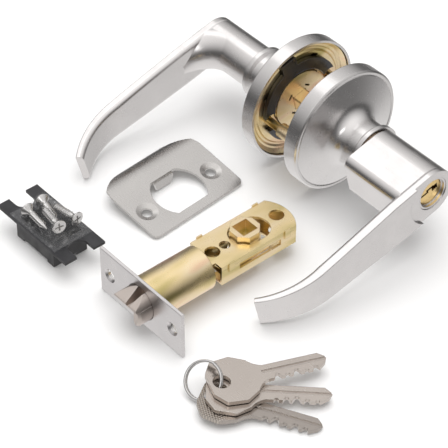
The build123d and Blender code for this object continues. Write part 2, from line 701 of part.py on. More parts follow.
def make_faceplate():
    """Square-cornered front plate with countersunk screw holes, and the plate behind it."""
    front = Plane(origin=(LATCH_X, LATCH_FRONT, LATCH_Z), x_dir=(1, 0, 0), z_dir=(0, -1, 0))
    with BuildPart() as latch_faceplate:
        with BuildSketch(latch_station(0)):
            Rectangle(PLATE_LONG, PLATE_TALL)
            Circle(BOLT_RADIUS + 0.2, mode=Mode.SUBTRACT)
        extrude(amount=FACEPLATE_THICKNESS)
        with Locations(front):
            with Locations((FACEPLATE_HOLES / 2, 0), (-FACEPLATE_HOLES / 2, 0)):
                CounterSinkHole(FACEPLATE_HOLE_RADIUS, SINK_RADIUS, counter_sink_angle=90)
        chamfer(latch_faceplate.faces().sort_by(Axis.Y)[0].outer_wire().edges(), 0.25)
    latch_faceplate.part.label = "latch_faceplate"
    export_step(latch_faceplate.part, "parts/latch_faceplate.step")
    with BuildPart() as latch_backplate:
        with BuildSketch(latch_station(FACEPLATE_THICKNESS)):
            RectangleRounded(PLATE_LONG - 7.0, PLATE_TALL - 4.2, 2.0)
            Circle(BOLT_RADIUS + 0.2, mode=Mode.SUBTRACT)
            with Locations((FACEPLATE_HOLES / 2, 0), (-FACEPLATE_HOLES / 2, 0)):
                Circle(BACKPLATE_HOLE_RADIUS, mode=Mode.SUBTRACT)
        extrude(amount=BACKPLATE_THICKNESS)
    latch_backplate.part.label = "latch_backplate"
    export_step(latch_backplate.part, "parts/latch_backplate.step")


def make_latch_tube():
    """Round sleeve behind the plates, and the guide inside it that the bolt tail slides through."""
    start = FACEPLATE_THICKNESS + BACKPLATE_THICKNESS
    with BuildPart() as latch_tube:
        latch_rod(start, TUBE_END, TUBE_RADIUS)
        chamfer(latch_tube.edges().filter_by(GeomType.CIRCLE).sort_by(Axis.Y)[-1], 0.3)
        latch_rod(start, TUBE_END, TUBE_RADIUS - TUBE_WALL, mode=Mode.SUBTRACT)
    latch_tube.part.label = "latch_tube"
    export_step(latch_tube.part, "parts/latch_tube.step")
    with BuildPart() as latch_guide:
        latch_rod(GUIDE_START, GUIDE_START + 1.4, TUBE_RADIUS - TUBE_WALL)
        with BuildSketch(latch_station(GUIDE_START)):
            Rectangle(TAIL_WIDTH + 0.4, TAIL_THICKNESS + 0.4)
            with Locations(PLUNGER_ROD):
                Circle(1.2)
        extrude(amount=2, mode=Mode.SUBTRACT)
    latch_guide.part.label = "latch_guide"
    export_step(latch_guide.part, "parts/latch_guide.step")


def make_bolt():
    """Wedge bolt with a groove along its upper slope and a corner left out for the plunger."""
    side = Plane(origin=(LATCH_X, LATCH_FRONT, LATCH_Z), x_dir=(0, 1, 0), z_dir=(1, 0, 0))
    tip = BOLT_RADIUS - BOLT_THROW * BEVEL_SLOPE
    with BuildPart() as latch_bolt:
        with BuildSketch(latch_station(-BOLT_THROW)):
            Circle(BOLT_RADIUS)
            with Locations((PLUNGER_LEFT - 0.2, -PLUNGER_TOP - 0.2)):
                Rectangle(12, PLUNGER_TALL + 0.4, align=(Align.MIN, Align.MIN), mode=Mode.SUBTRACT)
        extrude(amount=BOLT_THROW + BOLT_BODY)
        with BuildSketch(side):
            with BuildLine():
                Polyline(
                    (BOLT_BODY, BOLT_RADIUS),
                    (0, BOLT_RADIUS),
                    (-BOLT_THROW, tip),
                    (-BOLT_THROW, tip - 0.8),
                    (-1.0, -BOLT_RADIUS),
                    (BOLT_BODY, -BOLT_RADIUS),
                    close=True,
                )
            make_face()
        extrude(amount=BOLT_RADIUS + 1, both=True, mode=Mode.INTERSECT)
        with BuildSketch(latch_station(-BOLT_THROW)):
            with BuildLine():
                low = -BOLT_RADIUS - 1
                Polyline((-1.6, low), (1.0, -3.6), (2.6, -3.6), (3.8, low), close=True)
            make_face()
        extrude(amount=BOLT_THROW + 1.2, mode=Mode.SUBTRACT)
    latch_bolt.part.label = "latch_bolt"
    export_step(latch_bolt.part, "parts/latch_bolt.step")


def make_bolt_tail():
    """Flat tail behind the bolt, forked round the hub inside the case."""
    with BuildPart() as bolt_tail:
        with BuildSketch(latch_level(LATCH_Z - TAIL_THICKNESS / 2)):
            with BuildLine():
                Polyline(
                    (-TAIL_WIDTH / 2, BOLT_BODY),
                    (-TAIL_WIDTH / 2, YOKE_FRONT),
                    (-9.5, YOKE_FRONT),
                    (-9.5, YOKE_END),
                    (-7.8, YOKE_END),
                    (-7.8, YOKE_BACK),
                    (7.8, YOKE_BACK),
                    (7.8, YOKE_END),
                    (9.5, YOKE_END),
                    (9.5, YOKE_FRONT),
                    (TAIL_WIDTH / 2, YOKE_FRONT),
                    (TAIL_WIDTH / 2, BOLT_BODY),
                    close=True,
                )
            make_face()
        extrude(amount=TAIL_THICKNESS)
    bolt_tail.part.label = "bolt_tail"
    export_step(bolt_tail.part, "parts/bolt_tail.step")


def make_plunger():
    """Deadlatch plunger in the corner of the bolt, with its thin tail rod."""
    with BuildPart() as deadlatch_plunger:
        with BuildSketch(latch_station(-PLUNGER_THROW)):
            Circle(BOLT_RADIUS)
            with Locations((PLUNGER_LEFT, -PLUNGER_TOP)):
                RectangleRounded(20, PLUNGER_TALL, 2.6, align=(Align.MIN, Align.MIN), mode=Mode.INTERSECT)
        extrude(amount=PLUNGER_THROW + BOLT_BODY)
        chamfer(deadlatch_plunger.faces().sort_by(Axis.Y)[0].edges(), 1.1)
        with BuildSketch(latch_station(BOLT_BODY)):
            with Locations(PLUNGER_ROD):
                Circle(0.9)
        extrude(amount=10.2)
    deadlatch_plunger.part.label = "deadlatch_plunger"
    export_step(deadlatch_plunger.part, "parts/deadlatch_plunger.step")


def make_bolt_spring():
    """Compression spring round the bolt tail, seated on the guide."""
    with BuildPart() as bolt_spring:
        with BuildLine() as coil:
            start = (LATCH_X, LATCH_FRONT + GUIDE_START - 7.2, LATCH_Z)
            Helix(pitch=1.6, height=6.4, radius=5.6, center=start, direction=(0, 1, 0))
        with BuildSketch(Plane(origin=coil.line @ 0, z_dir=coil.line % 0)):
            Circle(0.5)
        sweep(is_frenet=True)
    bolt_spring.part.label = "bolt_spring"
    export_step(bolt_spring.part, "parts/bolt_spring.step")


def make_latch_hub():
    """Hub that the spindle turns: a round body with an eight-sided collar at each end."""
    rise = HUB_COLLAR_RISE
    with BuildPart() as latch_hub:
        with BuildSketch(latch_level(LATCH_Z - 4.4)):
            with Locations((0, BACKSET)):
                Circle(7.3)
        extrude(amount=8.8)
        with BuildSketch(latch_level(LATCH_Z - rise)):
            with Locations((0, BACKSET)):
                RegularPolygon(7.3, 8, rotation=22.5)
        extrude(amount=2 * rise)
        with BuildSketch(latch_level(LATCH_Z - rise)):
            with Locations((0, BACKSET)):
                Rectangle(SPINDLE_SQUARE + 0.3, SPINDLE_SQUARE + 0.3)
        extrude(amount=2 * rise, mode=Mode.SUBTRACT)
    latch_hub.part.label = "latch_hub"
    export_step(latch_hub.part, "parts/latch_hub.step")


# ---------------------------------------------------------------------------------------------
# Strike plate
# ---------------------------------------------------------------------------------------------


def make_strike_plate():
    """Full-lip strike: a flat field resting on its straight edge and on its turned-down lip."""
    turn = radians(STRIKE_TURN)
    tilt = radians(STRIKE_TILT)
    across = Vector(cos(turn), sin(turn), 0)
    length_way = Vector(-sin(turn), cos(turn), 0)
    centre = Vector(STRIKE_X, STRIKE_Y, 0)
    section = Plane(origin=centre, x_dir=across, z_dir=length_way * -1)
    plan = Plane(origin=centre, x_dir=across, z_dir=(0, 0, 1))
    edge, bend, low = 14.6, -17.5, 0.75
    rise = (edge - bend) * sin(tilt) / cos(tilt)
    face_height = low + edge * sin(tilt) / cos(tilt)
    normal = Vector(0, 0, cos(tilt)) + across * sin(tilt)
    with BuildPart() as strike_plate:
        with BuildSketch(section):
            with BuildLine():
                field = Line((edge, low), (bend, low + rise))
                JernArc(start=field @ 1, tangent=field % 1, radius=LIP_RADIUS, arc_size=LIP_ANGLE)
            trace(line_width=STRIKE_SHEET)
        extrude(amount=STRIKE_LENGTH / 2, both=True)
        with BuildSketch(plan):
            with BuildLine():
                half = STRIKE_LENGTH / 2
                upper = [(-20.5, half - 1.2), (-16.0, half), (edge, half)]
                lower = [(x, -y) for x, y in reversed(upper)]
                FilletPolyline(*upper, *lower, radius=3.2)
                ThreePointArc((-20.5, half - 1.2), (-31.0, 0), (-20.5, -half + 1.2))
            make_face()
        extrude(amount=20, mode=Mode.INTERSECT)
        for row in (-1, 1):
            hole = Plane(
                origin=(
                    centre
                    + length_way * (row * STRIKE_HOLES / 2)
                    + Vector(0, 0, face_height)
                    + normal * (STRIKE_SHEET / 2)
                ),
                x_dir=length_way,
                z_dir=normal * -1,
            )
            with Locations(hole):
                Cone(6.8, 4.3, 2.0, align=CENTRED_UP)
                Cone(5.3, 2.7, 1.1, align=CENTRED_UP, mode=Mode.SUBTRACT)
                Cylinder(2.7, 6, mode=Mode.SUBTRACT)
        with BuildSketch(plan):
            Circle(13.6)
            with Locations((-0.7, 0)):
                Rectangle(21.2, 30, mode=Mode.INTERSECT)
        extrude(amount=20, mode=Mode.SUBTRACT)
        with BuildSketch(Plane(origin=centre + across * -11.3, x_dir=length_way, z_dir=across)):
            with BuildLine():
                right_side = [(6.0, 5.4), (6.0, 4.4), (4.6, 0.6)]
                left_side = [(-x, y) for x, y in reversed(right_side)]
                Polyline(*right_side, *left_side, close=True)
            make_face()
        extrude(amount=STRIKE_SHEET - 0.2)
    strike_plate.part.label = "strike_plate"
    export_step(strike_plate.part, "parts/strike_plate.step")


# ---------------------------------------------------------------------------------------------
# Dust box, bag and wood screws
# ---------------------------------------------------------------------------------------------


def make_dust_box():
    """Moulded box with a forked flange at each end and locating lugs under its floor."""
    flange = 1.5
    with BuildPart() as dust_box:
        with BuildSketch(Plane(origin=(BOX_X, BOX_Y, BOX_TOP - flange))):
            Rectangle(BOX_LENGTH, BOX_WIDTH)
            for end in (-1, 1):
                with Locations((end * BOX_LENGTH / 2, 0)):
                    SlotCenterToCenter(2 * FORK_DEPTH, FORK_WIDTH, mode=Mode.SUBTRACT)
        extrude(amount=flange)
        with BuildSketch(Plane(origin=(BOX_X, BOX_Y, 1.4))):
            Rectangle(BOX_BODY_LENGTH, BOX_BODY_WIDTH)
        extrude(amount=BOX_TOP - flange - 1.4)
        with BuildSketch(Plane(origin=(BOX_X, BOX_Y, 2.8))):
            Rectangle(BOX_BODY_LENGTH - 2.8, BOX_BODY_WIDTH - 2.8)
        extrude(amount=BOX_TOP, mode=Mode.SUBTRACT)
        with BuildSketch(Plane(origin=(BOX_X, BOX_Y, 0))):
            with GridLocations(BOX_BODY_LENGTH - 5, BOX_BODY_WIDTH - 6, 2, 2):
                Rectangle(5, 6)
        extrude(amount=1.6)
    dust_box.part.label = "dust_box"
    export_step(dust_box.part, "parts/dust_box.step")


def make_screw_bag():
    """Clear film bag, laid flat across the mouth of the dust box."""
    with BuildPart() as screw_bag:
        with BuildSketch(Plane(origin=(BOX_X, BOX_Y, BOX_TOP + 0.1))):
            RectangleRounded(34.0, 21.5, 2.0)
        extrude(amount=0.8)
    screw_bag.part.label = "screw_bag"
    export_step(screw_bag.part, "parts/screw_bag.step")


def make_wood_screws():
    """Four countersunk wood screws, two lying across the other two."""
    with BuildPart() as wood_screws:
        for from_x, from_y, heading, height in WOOD_SCREWS:
            x, y = BOX_X + from_x, BOX_Y + from_y
            way = Vector(cos(radians(heading)), sin(radians(heading)), 0)
            side = Plane(origin=(x, y, height), x_dir=way, z_dir=Vector(0, 0, 1))
            with BuildSketch(side):
                with BuildLine():
                    Polyline((0, 0), (0, 3.5), (0.5, 3.5), (2.6, 1.5), (4.0, 1.45))
                    threads = [(4.0, 1.45)]
                    for turn in range(8):
                        threads.append((4.5 + turn * 1.2, 1.85))
                        threads.append((5.2 + turn * 1.2, 1.25))
                    Polyline(*threads)
                    Polyline(threads[-1], (16.5, 0), (0, 0))
                make_face()
            revolve(axis=Axis((x, y, height), way))
            with Locations(Plane(origin=(x, y, height), x_dir=(0, 0, 1), z_dir=way)):
                Box(4.2, 0.8, 2.4, mode=Mode.SUBTRACT)
                Box(0.8, 4.2, 2.4, mode=Mode.SUBTRACT)
    wood_screws.part.label = "wood_screws"
    export_step(wood_screws.part, "parts/wood_screws.step")


# ---------------------------------------------------------------------------------------------
# Keys and split ring
# ---------------------------------------------------------------------------------------------


def keys_plane(height=0.0):
    """The tilted plane that the keys lie in: x runs down towards their tips."""
    heading, tilt = radians(KEYS_HEADING), radians(KEYS_TILT)
    down = Vector(cos(heading) * cos(tilt), sin(heading) * cos(tilt), -sin(tilt))
    normal = Vector(cos(heading) * sin(tilt), sin(heading) * sin(tilt), cos(tilt))
    return Plane(origin=Vector(RING_X, RING_Y, KEYS_LIFT) + normal * height, x_dir=down, z_dir=normal)


def ring_direction():
    """The ring's level diameter and its climbing one, in the plane of the keys."""
    turn, lean = radians(RING_TURN), radians(RING_LEAN)
    level = Vector(cos(turn), sin(turn), 0)
    climb = Vector(-sin(turn) * cos(lean), cos(turn) * cos(lean), sin(lean))
    return level, climb


def key_hole_point(index):
    """Where the ring passes through the middle of one key's thickness."""
    level, climb = ring_direction()
    height = index * KEY_PITCH + KEY_THICKNESS / 2
    angle = asin((height - RING_HEIGHT) / (RING_RADIUS * climb.Z))
    return level * (RING_RADIUS * cos(angle)) + climb * (RING_RADIUS * sin(angle))


def make_key(index, angle):
    """Cylinder key: six-sided bow with a round hole, shouldered blade, groove and cuts."""
    name = f"key_{index + 1}"
    base = keys_plane(index * KEY_PITCH)
    point = key_hole_point(index)
    way = base.x_dir * cos(radians(angle)) + base.y_dir * sin(radians(angle))
    hole = base.origin + base.x_dir * point.X + base.y_dir * point.Y
    flat = Plane(origin=hole, x_dir=way, z_dir=base.z_dir)
    half = BOW_WIDTH / 2
    blade_start, tip = 20.0, KEY_LENGTH - BOW_BACK
    cuts = [(blade_start, -4.2)]
    for place, depth in enumerate(KEY_CUTS[index]):
        centre = blade_start + 4.5 + place * 4.4
        cuts.append((centre - 0.5 - depth * 0.55, -4.2))
        cuts.append((centre - 0.5, -4.2 + depth))
        cuts.append((centre + 0.5, -4.2 + depth))
        cuts.append((centre + 0.5 + depth * 0.55, -4.2))
    with BuildPart() as key:
        with BuildSketch(flat):
            with BuildLine():
                FilletPolyline(
                    (14.0, half - 4.0),
                    (7.5, half),
                    (-1.5, half - 1.0),
                    (-BOW_BACK, half - 7.0),
                    (-BOW_BACK, -half + 7.0),
                    (-1.5, -half + 1.0),
                    (7.5, -half),
                    (14.0, -half + 4.0),
                    radius=BOW_ROUNDING[index],
                )
                ThreePointArc((14.0, half - 4.0), (16.4, 6.1), (blade_start, 4.2))
                nose = [(tip - 3.2, 4.2), (tip, 1.0), (tip - 1.4, -1.6)]
                Polyline((blade_start, 4.2), *nose, (cuts[-1][0], -4.2))
                Polyline(*cuts)
                ThreePointArc((14.0, -half + 4.0), (16.4, -6.1), (blade_start, -4.2))
            make_face()
            Circle(KEY_HOLE, mode=Mode.SUBTRACT)
        extrude(amount=KEY_THICKNESS)
        for level, amount in ((0, 0.55), (KEY_THICKNESS, -0.55)):
            with BuildSketch(Plane(origin=hole + base.z_dir * level, x_dir=way, z_dir=base.z_dir)):
                with Locations((blade_start - 1.5, 0.7)):
                    Rectangle(tip - blade_start + 3, 1.5, align=(Align.MIN, Align.CENTER))
            extrude(amount=amount, mode=Mode.SUBTRACT)
    key.part.label = name
    export_step(key.part, f"parts/{name}.step")


def make_key_ring():
    """Split ring of two close turns, threaded through the three keys."""
    base = keys_plane(RING_HEIGHT)
    level, climb = ring_direction()
    across = base.x_dir * level.X + base.y_dir * level.Y
    rising = base.x_dir * climb.X + base.y_dir * climb.Y + base.z_dir * climb.Z
    face = across.cross(rising)
    height = 2 * RING_COIL
    with BuildPart() as key_ring:
        with BuildLine() as coil:
            start = base.origin - face * (height / 2)
            Helix(pitch=RING_COIL, height=height, radius=RING_RADIUS, center=start, direction=face)
        with BuildSketch(Plane(origin=coil.line @ 0, z_dir=coil.line % 0)):
            Circle(RING_WIRE)
        sweep(is_frenet=True)
    key_ring.part.label = "key_ring"
    export_step(key_ring.part, "parts/key_ring.step")


for door_side in (EXTERIOR, INTERIOR):
    make_rose(door_side)
    make_mounting_plate(door_side)
    make_spring_cage(door_side)
    make_drive_hub(door_side)
    make_retaining_ring(door_side)
    make_torsion_spring(door_side)
    make_lever(door_side)
make_posts()
make_spindle()
make_cylinder_housing()
make_key_plug()
make_pins()
make_tailpiece()
make_mounting_screws()
make_button_bezel()
make_turn_button()
make_faceplate()
make_latch_tube()
make_case()
make_bolt()
make_bolt_tail()
make_plunger()
make_bolt_spring()
make_latch_hub()
make_strike_plate()
make_dust_box()
make_screw_bag()
make_wood_screws()
for key_index, key_angle in enumerate(KEY_ANGLES):
    make_key(key_index, key_angle)
make_key_ring()
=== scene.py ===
"""The looks of a lever handle lockset, laid out as a kit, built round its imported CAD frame."""

import math

import bmesh
import bpy
import numpy as np
from mathutils import Matrix, Vector, noise


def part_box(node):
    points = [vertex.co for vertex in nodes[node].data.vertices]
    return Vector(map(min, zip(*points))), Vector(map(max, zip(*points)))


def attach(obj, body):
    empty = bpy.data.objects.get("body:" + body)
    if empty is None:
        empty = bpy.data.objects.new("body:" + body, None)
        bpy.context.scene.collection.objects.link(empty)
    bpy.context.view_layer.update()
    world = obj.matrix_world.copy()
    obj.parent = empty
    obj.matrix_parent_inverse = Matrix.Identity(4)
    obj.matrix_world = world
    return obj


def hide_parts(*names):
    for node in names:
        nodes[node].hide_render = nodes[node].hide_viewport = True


MM = 0.001
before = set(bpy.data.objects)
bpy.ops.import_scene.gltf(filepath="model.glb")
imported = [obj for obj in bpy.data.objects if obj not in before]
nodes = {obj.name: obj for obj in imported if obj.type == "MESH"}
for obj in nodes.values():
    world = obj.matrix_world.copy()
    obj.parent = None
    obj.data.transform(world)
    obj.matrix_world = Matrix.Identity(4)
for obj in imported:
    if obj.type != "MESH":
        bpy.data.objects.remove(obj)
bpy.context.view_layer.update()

# ---------------------------------------------------------------------------------------------
# Node materials
# ---------------------------------------------------------------------------------------------


class Graph:
    """A material's nodes, added one at a time and joined by name."""

    def __init__(self, name):
        self.material = bpy.data.materials.new(name)
        self.material.use_nodes = True
        self.tree = self.material.node_tree
        self.shader = self.tree.nodes["Principled BSDF"]
        place = self.tree.nodes.new("ShaderNodeTexCoord")
        self.place = place.outputs["Object"]

    def link(self, source, target):
        self.tree.links.new(source, target)

    def noise(self, scale, detail=2.0, stretch=None):
        """Noise with features about 1 / scale metres across, drawn out along a direction by stretch."""
        node = self.tree.nodes.new("ShaderNodeTexNoise")
        node.inputs["Scale"].default_value = scale
        node.inputs["Detail"].default_value = detail
        source = self.place
        if stretch:
            mapping = self.tree.nodes.new("ShaderNodeMapping")
            mapping.inputs["Rotation"].default_value = stretch[0]
            mapping.inputs["Scale"].default_value = stretch[1]
            self.link(source, mapping.inputs["Vector"])
            source = mapping.outputs["Vector"]
        self.link(source, node.inputs["Vector"])
        return node.outputs["Fac"]

    def spread(self, source, low, high, start=0.3, end=0.7):
        """The source remapped from start..end to low..high."""
        node = self.tree.nodes.new("ShaderNodeMapRange")
        for socket, value in (("From Min", start), ("From Max", end), ("To Min", low), ("To Max", high)):
            node.inputs[socket].default_value = value
        self.link(source, node.inputs["Value"])
        return node.outputs["Result"]

    def ramp(self, source, stops):
        """A colour for each stop along the source: (position, (r, g, b))."""
        node = self.tree.nodes.new("ShaderNodeValToRGB")
        elements = node.color_ramp.elements
        while len(elements) < len(stops):
            elements.new(0.5)
        for element, (position, colour) in zip(elements, stops):
            element.position = position
            element.color = (*colour, 1)
        self.link(source, node.inputs["Fac"])
        return node.outputs["Color"]

    def mix(self, amount, first, second, blend="MIX"):
        """Two colours mixed by an amount; each may be a socket or a colour."""
        node = self.tree.nodes.new("ShaderNodeMix")
        node.data_type = "RGBA"
        node.blend_type = blend
        for socket, value in ((node.inputs[0], amount), (node.inputs[6], first), (node.inputs[7], second)):
            if isinstance(value, bpy.types.NodeSocket):
                self.link(value, socket)
            elif isinstance(value, tuple):
                socket.default_value = (*value, 1)
            else:
                socket.default_value = value
        return node.outputs[2]

    def maths(self, operation, first, second):
        """One arithmetic step between two sockets or numbers."""
        node = self.tree.nodes.new("ShaderNodeMath")
        node.operation = operation
        for socket, value in zip(node.inputs, (first, second)):
            if isinstance(value, bpy.types.NodeSocket):
                self.link(value, socket)
            else:
                socket.default_value = value
        return node.outputs[0]

    def wave(self, scale, rotation):
        """Even ridges across a direction."""
        mapping = self.tree.nodes.new("ShaderNodeMapping")
        mapping.inputs["Rotation"].default_value = rotation
        self.link(self.place, mapping.inputs["Vector"])
        node = self.tree.nodes.new("ShaderNodeTexWave")
        node.inputs["Scale"].default_value = scale
        node.inputs["Distortion"].default_value = 0.4
        self.link(mapping.outputs["Vector"], node.inputs["Vector"])
        return node.outputs["Fac"]

    def worn_edges(self, width):
        """1 along rounded-over edges and 0 on faces, with the softened normal that goes with it."""
        bevel = self.tree.nodes.new("ShaderNodeBevel")
        bevel.samples = 4
        bevel.inputs["Radius"].default_value = width
        surface = self.tree.nodes.new("ShaderNodeNewGeometry")
        dot = self.tree.nodes.new("ShaderNodeVectorMath")
        dot.operation = "DOT_PRODUCT"
        self.link(bevel.outputs["Normal"], dot.inputs[0])
        self.link(surface.outputs["Normal"], dot.inputs[1])
        return self.spread(dot.outputs["Value"], 1.0, 0.0, 0.86, 0.995), bevel.outputs["Normal"]

    def bump(self, height, strength, distance, normal=None):
        node = self.tree.nodes.new("ShaderNodeBump")
        node.inputs["Strength"].default_value = strength
        node.inputs["Distance"].default_value = distance
        self.link(height, node.inputs["Height"])
        if normal:
            self.link(normal, node.inputs["Normal"])
        return node.outputs["Normal"]


def metal(name, base, rough, edge, brushed=None, cloud=0.03, grain=0.05, wear=0.35):
    """Plated or cast metal: clouded colour, fine grain along its brushing, and brighter worn edges."""
    g = Graph(name)
    darker = tuple(c * (1 - cloud) for c in base)
    lighter = tuple(min(1, c * (1 + cloud)) for c in base)
    colour = g.ramp(g.noise(60, 4), [(0.3, darker), (0.7, lighter)])
    worn, normal = g.worn_edges(0.35 * MM)
    colour = g.mix(g.maths("MULTIPLY", worn, wear), colour, edge)
    fine = g.noise(2600, 3, brushed or ((0, 0, 0), (1, 1, 1)))
    coarse = g.noise(180, 3)
    roughness = g.maths("ADD", g.spread(coarse, rough - 0.03, rough + 0.03), g.spread(fine, -0.025, 0.025))
    roughness = g.maths("SUBTRACT", roughness, g.maths("MULTIPLY", worn, 0.06))
    g.shader.inputs["Metallic"].default_value = 1
    g.link(colour, g.shader.inputs["Base Color"])
    g.link(roughness, g.shader.inputs["Roughness"])
    g.link(g.bump(fine, grain, 0.05 * MM, normal), g.shader.inputs["Normal"])
    return g


def satin_nickel(name, rotation, base=(0.74, 0.72, 0.715), rough=0.24):
    """Satin nickel, brushed along one direction."""
    brushed = (rotation, (0.03, 1, 1))
    return metal(name, base, rough, (0.86, 0.85, 0.84), brushed).material


def yellow_zinc():
    """Yellow chromate plating: gold with olive and pink bands that drift over the metal."""
    g = metal("yellow_zinc", (0.80, 0.62, 0.34), 0.3, (0.9, 0.8, 0.6), cloud=0.1, grain=0.1, wear=0.3)
    bands = g.noise(70, 2, ((0, 0, 0), (1.0, 0.35, 1.4)))
    plating = g.ramp(bands, [
        (0.30, (0.60, 0.50, 0.20)),
        (0.44, (0.88, 0.71, 0.40)),
        (0.54, (0.92, 0.76, 0.50)),
        (0.64, (0.88, 0.62, 0.42)),
        (0.76, (0.66, 0.44, 0.38)),
    ])
    worn, _ = g.worn_edges(0.3 * MM)
    colour = g.mix(g.maths("MULTIPLY", worn, 0.25), plating, (0.95, 0.86, 0.62))
    g.link(colour, g.shader.inputs["Base Color"])
    return g.material


BOW_SHARE = 0.42
KNURL_SCALE, KNURL_TURNS = 300, (14, -62)


def key_metal(name, knurl):
    """Nickel key blank; the knurled one has a fine crossed grid over its bow, with painted shade darkening
    the grid's grooves in its colour.
    """
    g = metal(name, (0.60, 0.545, 0.50), 0.24, (0.93, 0.9, 0.87), ((0, 0, math.radians(50)), (0.08, 1, 1)))
    if knurl:
        low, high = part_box(knurl)
        bow_end = low.x + BOW_SHARE * (high.x - low.x)
        split = g.tree.nodes.new("ShaderNodeSeparateXYZ")
        g.link(g.place, split.inputs["Vector"])
        on_bow = g.spread(split.outputs["X"], 1.0, 0.0, bow_end - 1 * MM, bow_end + 1 * MM)
        first, second = (g.wave(KNURL_SCALE, (0, 0, math.radians(turn))) for turn in KNURL_TURNS)
        grid = g.maths("MULTIPLY", g.maths("MULTIPLY", first, second), on_bow)
        old = g.shader.inputs["Normal"].links[0].from_socket
        g.link(g.bump(grid, 0.9, 0.22 * MM, old), g.shader.inputs["Normal"])
        colour = g.shader.inputs["Base Color"].links[0].from_socket
        # Painted shade: the colour is multiplied down to 0.72 in the knurl's grooves and left full on its
        # ridges; off the bow the grid is zero, so the same 0.72 darkens the rest of the key evenly.
        shade = g.spread(grid, 0.72, 1.04, 0.05, 0.6)
        mixed = g.mix(on_bow, (1.0, 1.0, 1.0), (0.93, 0.93, 0.91))
        tinted = g.mix(1.0, colour, mixed, "MULTIPLY")
        painted_groove_shade = g.ramp(shade, [(0.0, (0, 0, 0)), (1.0, (1, 1, 1))])
        g.link(g.mix(1.0, tinted, painted_groove_shade, "MULTIPLY"), g.shader.inputs["Base Color"])
    return g.material


def black_plastic():
    """Moulded black plastic with a fine pebble and scuffed edges."""
    g = Graph("black_plastic")
    worn, normal = g.worn_edges(0.3 * MM)
    colour = g.ramp(g.noise(120, 4), [(0.3, (0.012, 0.012, 0.014)), (0.7, (0.026, 0.026, 0.029))])
    scuffed = g.mix(g.maths("MULTIPLY", worn, 0.5), colour, (0.09, 0.09, 0.095))
    g.link(scuffed, g.shader.inputs["Base Color"])
    g.link(g.spread(g.noise(220, 3), 0.36, 0.52), g.shader.inputs["Roughness"])
    g.link(g.bump(g.noise(2600, 2), 0.25, 0.05 * MM, normal), g.shader.inputs["Normal"])
    return g.material


def clear_film():
    """Thin clear film: nearly invisible, milkier along its creases, with roughness that varies at random
    over it.
    """
    g = Graph("clear_film")
    crease = g.noise(420, 4, ((0, 0, 0.5), (1, 0.5, 1)))
    g.link(g.ramp(crease, [(0.4, (0.86, 0.87, 0.88)), (0.7, (1, 1, 1))]), g.shader.inputs["Base Color"])
    g.link(g.spread(crease, 0.03, 0.16, 0.55, 0.8), g.shader.inputs["Alpha"])
    g.link(g.spread(g.noise(300, 3), 0.04, 0.16), g.shader.inputs["Roughness"])
    g.link(g.bump(g.noise(600, 3), 0.5, 0.2 * MM), g.shader.inputs["Normal"])
    return g.material


def pale_floor():
    g = Graph("pale_floor")
    colour = g.ramp(g.noise(3, 3), [(0.3, (0.86, 0.86, 0.86)), (0.7, (0.89, 0.89, 0.89))])
    g.link(colour, g.shader.inputs["Base Color"])
    g.link(g.spread(g.noise(40, 3), 0.75, 0.85), g.shader.inputs["Roughness"])
    g.link(g.bump(g.noise(500, 2), 0.1, 0.05 * MM), g.shader.inputs["Normal"])
    return g.material


ALONG_X, ALONG_Y = (0, 0, 0), (0, 0, math.radians(90))
LEVER_WAY = (0, 0, math.radians(90))
lever_nickel = satin_nickel("lever_nickel", LEVER_WAY)
rose_nickel = satin_nickel("rose_nickel", ALONG_X, (0.72, 0.705, 0.70), 0.24)
plate_nickel = satin_nickel("plate_nickel", ALONG_X, (0.72, 0.70, 0.70), 0.3)
strike_nickel = satin_nickel("strike_nickel", ALONG_Y, (0.58, 0.565, 0.55), 0.27)
cast_edge = (0.8, 0.76, 0.72)
cast_nickel = metal("cast_nickel", (0.56, 0.50, 0.46), 0.34, cast_edge, cloud=0.12, grain=0.3).material
zinc = yellow_zinc()
brass = metal("plug_brass", (0.90, 0.66, 0.30), 0.26, (0.98, 0.85, 0.55), cloud=0.08).material
bright = metal("bright_steel", (0.66, 0.65, 0.64), 0.2, (0.9, 0.9, 0.9)).material
dark_steel = metal("spring_steel", (0.10, 0.10, 0.105), 0.3, (0.3, 0.3, 0.31), cloud=0.2).material
button = metal("button_metal", (0.55, 0.54, 0.53), 0.3, (0.8, 0.8, 0.8)).material
black = black_plastic()
film = clear_film()

LOOKS = {
    lever_nickel: ["exterior_lever", "interior_lever", "cylinder_housing"],
    rose_nickel: ["exterior_rose", "interior_rose"],
    plate_nickel: ["latch_faceplate"],
    strike_nickel: ["strike_plate"],
    cast_nickel: ["latch_bolt", "deadlatch_plunger"],
    zinc: [
        "exterior_mounting_plate", "interior_mounting_plate", "exterior_drive_hub", "interior_drive_hub",
        "mounting_posts", "mounting_screws", "spindle", "latch_tube", "latch_case_lower", "latch_case_upper",
        "latch_hub", "bolt_tail",
    ],
    brass: ["key_plug", "key_pins", "driver_pins"],
    bright: ["tailpiece", "lock_bar", "latch_backplate", "wood_screws", "key_ring"],
    dark_steel: [
        "exterior_spring_cage", "interior_spring_cage", "exterior_retaining_ring", "interior_retaining_ring",
        "exterior_torsion_spring", "interior_torsion_spring", "pin_springs", "bolt_spring",
    ],
    button: ["button_bezel", "turn_button"],
    black: ["dust_box", "latch_guide"],
    key_metal("knurled_key", "key_1"): ["key_1"],
    key_metal("plain_key", None): ["key_2", "key_3"],
}


def dress_nodes():
    """Gives each CAD node its material."""
    for material, names in LOOKS.items():
        for name in names:
            slots = nodes[name].data.materials
            slots.clear()
            slots.append(material)


# ---------------------------------------------------------------------------------------------
# The clear bag over the wood screws
# ---------------------------------------------------------------------------------------------


def draped_height(x, y, peaks, floor):
    """Height of film lying over the screws: it hangs from their high points in shallow folds."""
    near = np.hypot(peaks[:, 0] - x, peaks[:, 1] - y)
    lift = peaks[:, 2] - floor - 1.1 * np.maximum(near - 1.2 * MM, 0)
    return floor + max(0.0, float(lift.max()))


